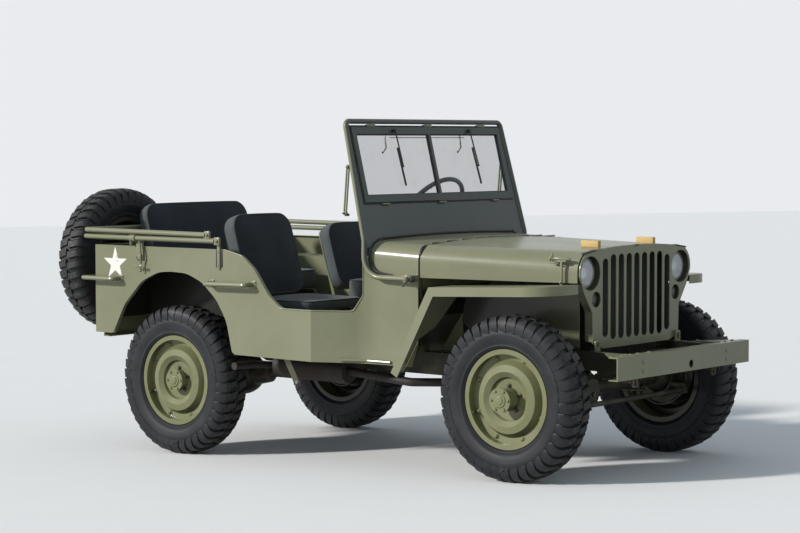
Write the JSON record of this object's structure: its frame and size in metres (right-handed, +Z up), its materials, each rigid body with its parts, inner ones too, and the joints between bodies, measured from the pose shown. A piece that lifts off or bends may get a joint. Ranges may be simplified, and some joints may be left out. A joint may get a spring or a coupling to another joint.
{
  "type": "military light vehicle",
  "caption": "Open olive-green army off-road car with a folding windshield, a slotted grille, low doorless sides and a spare wheel on the back.",
  "frame": {"origin": "on the ground under the middle of the car's bounding box", "axes": "+X forward, towards the grille; +Y to the car's left; +Z up"},
  "size_m": [3.3296, 1.574, 1.6296],
  "materials": {
    "body_green": "matt olive drab",
    "chassis_green": "matt olive drab, dusty",
    "wheel_green": "matt olive drab",
    "tyre_rubber": "dry black",
    "seat_canvas": "blue-grey canvas",
    "lamp_glass": "clear",
    "screen_glass": "clear",
    "block_wood": "bare, weathered",
    "engine_iron": "grey-green paint",
    "bare_steel": "worn",
    "black_plastic": "hard black rim"
  },
  "bodies": {
    "car": {"body_side_left": "body_green", "body_side_right": "body_green", "chassis_frame": "chassis_green", "cowl": "body_green", "driver_seat_pads": "seat_canvas", "engine_and_gearbox": "engine_iron", "exhaust": "bare_steel", "floor_pan": "body_green", "front_axle": "chassis_green", "front_bumper": "body_green", "front_fender_left": "body_green", "front_fender_right": "body_green", "fuel_tank": "body_green", "grab_handles": "body_green", "lamps": "lamp_glass", "leaf_springs": "chassis_green", "propeller_shafts": "bare_steel", "radiator": "engine_iron", "radiator_grille": "body_green", "rear_axle": "chassis_green", "rear_bumperettes": "body_green", "rear_panel": "body_green", "rear_seat_pads": "seat_canvas", "seat_frames": "body_green", "shock_absorbers": "chassis_green", "spare_carrier": "body_green", "spare_tyre": "tyre_rubber", "spare_wheel": "wheel_green", "steering_column": "body_green", "top_bows": "body_green", "wheelhouses": "body_green", "windshield_pivots": "body_green"},
    "hood": {"hood_panel": "body_green", "hood_blocks": "block_wood"},
    "windshield": {"windshield_frame": "body_green", "windshield_sash": "body_green", "windshield_glass": "screen_glass", "wipers": "body_green"},
    "steering_wheel_body": {"steering_wheel": "black_plastic"},
    "right_knuckle": {"knuckle_right": "chassis_green"},
    "left_knuckle": {"knuckle_left": "chassis_green"},
    "tie_rod_body": {"tie_rod": "chassis_green"},
    "passenger_seat": {"passenger_seat_frame": "body_green", "passenger_seat_pads": "seat_canvas"},
    "right_lid": {"toolbox_lid_right": "body_green"},
    "left_lid": {"toolbox_lid_left": "body_green"},
    "glovebox": {"glovebox_door": "body_green"},
    "front_right_wheel": {"tyre_front_right": "tyre_rubber", "wheel_front_right": "wheel_green"},
    "front_left_wheel": {"tyre_front_left": "tyre_rubber", "wheel_front_left": "wheel_green"},
    "rear_right_wheel": {"tyre_rear_right": "tyre_rubber", "wheel_rear_right": "wheel_green"},
    "rear_left_wheel": {"tyre_rear_left": "tyre_rubber", "wheel_rear_left": "wheel_green"}
  },
  "joints": [
    {"name": "steer_right", "type": "hinge", "parent": "car", "child": "right_knuckle", "pos_m": [1.16261, -0.5475, 0.368], "axis": [0, 0, 1], "range_deg": [-25, 25]},
    {"name": "steer_left", "type": "hinge", "parent": "car", "child": "left_knuckle", "pos_m": [1.16261, 0.5475, 0.368], "axis": [0, 0, 1], "range_deg": [-25, 25]},
    {"name": "tie_rod_pivot", "type": "hinge", "parent": "right_knuckle", "child": "tie_rod_body", "pos_m": [1.31261, -0.5475, 0.31], "axis": [0, 0, 1], "range_deg": [-25, 25]},
    {"name": "steering_wheel_turn", "type": "hinge", "parent": "car", "child": "steering_wheel_body", "pos_m": [-0.06299, 0.355, 1.16389], "axis": [-0.7934, 0, 0.6088], "range_deg": [-350, 350]},
    {"name": "front_right_spin", "type": "hinge", "parent": "right_knuckle", "child": "front_right_wheel", "pos_m": [1.16261, -0.6225, 0.368], "axis": [0, 1, 0], "continuous": true},
    {"name": "front_left_spin", "type": "hinge", "parent": "left_knuckle", "child": "front_left_wheel", "pos_m": [1.16261, 0.6225, 0.368], "axis": [0, 1, 0], "continuous": true},
    {"name": "rear_right_spin", "type": "hinge", "parent": "car", "child": "rear_right_wheel", "pos_m": [-0.86939, -0.6225, 0.368], "axis": [0, 1, 0], "continuous": true},
    {"name": "rear_left_spin", "type": "hinge", "parent": "car", "child": "rear_left_wheel", "pos_m": [-0.86939, 0.6225, 0.368], "axis": [0, 1, 0], "continuous": true},
    {"name": "hood_hinge", "type": "hinge", "parent": "car", "child": "hood", "pos_m": [0.61263, 0, 1.06417], "axis": [0, -1, 0], "range_deg": [0, 118]},
    {"name": "windshield_fold", "type": "hinge", "parent": "car", "child": "windshield", "pos_m": [0.59797, 0, 0.88649], "axis": [0, -1, 0], "range_deg": [-104, 0]},
    {"name": "passenger_seat_tip", "type": "hinge", "parent": "car", "child": "passenger_seat", "pos_m": [-0.0536, -0.322, 0.56744], "axis": [0, 1, 0], "range_deg": [0, 42]},
    {"name": "right_lid_hinge", "type": "hinge", "parent": "car", "child": "right_lid", "pos_m": [-1.24311, -0.591, 0.9457], "axis": [0, 1, 0], "range_deg": [0, 95]},
    {"name": "left_lid_hinge", "type": "hinge", "parent": "car", "child": "left_lid", "pos_m": [-1.24311, 0.591, 0.9457], "axis": [0, 1, 0], "range_deg": [0, 95]},
    {"name": "glovebox_hinge", "type": "hinge", "parent": "car", "child": "glovebox", "pos_m": [0.35058, -0.41, 0.91297], "axis": [0, 1, 0], "range_deg": [-80, 0]}
  ],
  "couplings": [
    {"joint": "steer_left", "follows": "steer_right", "ratio": 1},
    {"joint": "tie_rod_pivot", "follows": "steer_right", "ratio": -1},
    {"joint": "steering_wheel_turn", "follows": "steer_right", "ratio": 14}
  ]
}
